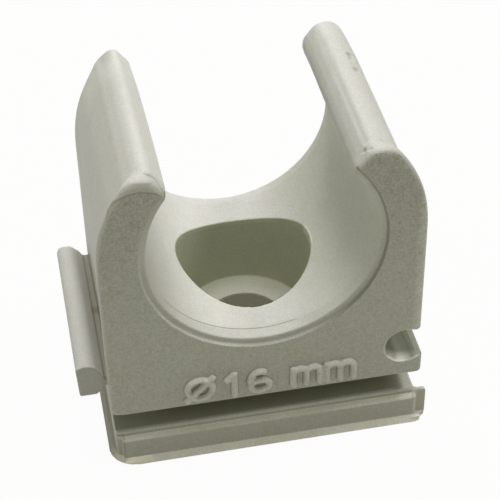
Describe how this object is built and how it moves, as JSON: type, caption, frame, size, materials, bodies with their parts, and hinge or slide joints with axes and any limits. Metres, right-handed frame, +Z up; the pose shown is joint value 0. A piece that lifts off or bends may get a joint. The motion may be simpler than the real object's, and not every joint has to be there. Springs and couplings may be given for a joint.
{
  "type": "pipe clip",
  "caption": "Snap-in pipe clip, moulded whole: open round seat between springy arms, screw pocket, slotted foot for a mounting channel, and a side rail and groove that couple clips in a row.",
  "frame": {"origin": "on the axis of the screw hole, in the plane of the underside", "axes": "+Z up out of the pipe's mouth along the screw hole's axis, Y along the pipe with the marked front face towards -Y, coupling rail on the -X side and its groove on the +X side"},
  "size_m": [0.0242, 0.0166, 0.024],
  "materials": {
    "moulding": "matt as moulded, with a fine eroded grain on the front face"
  },
  "bodies": {
    "root": {"pipe_clip": "moulding"}
  },
  "joints": []
}
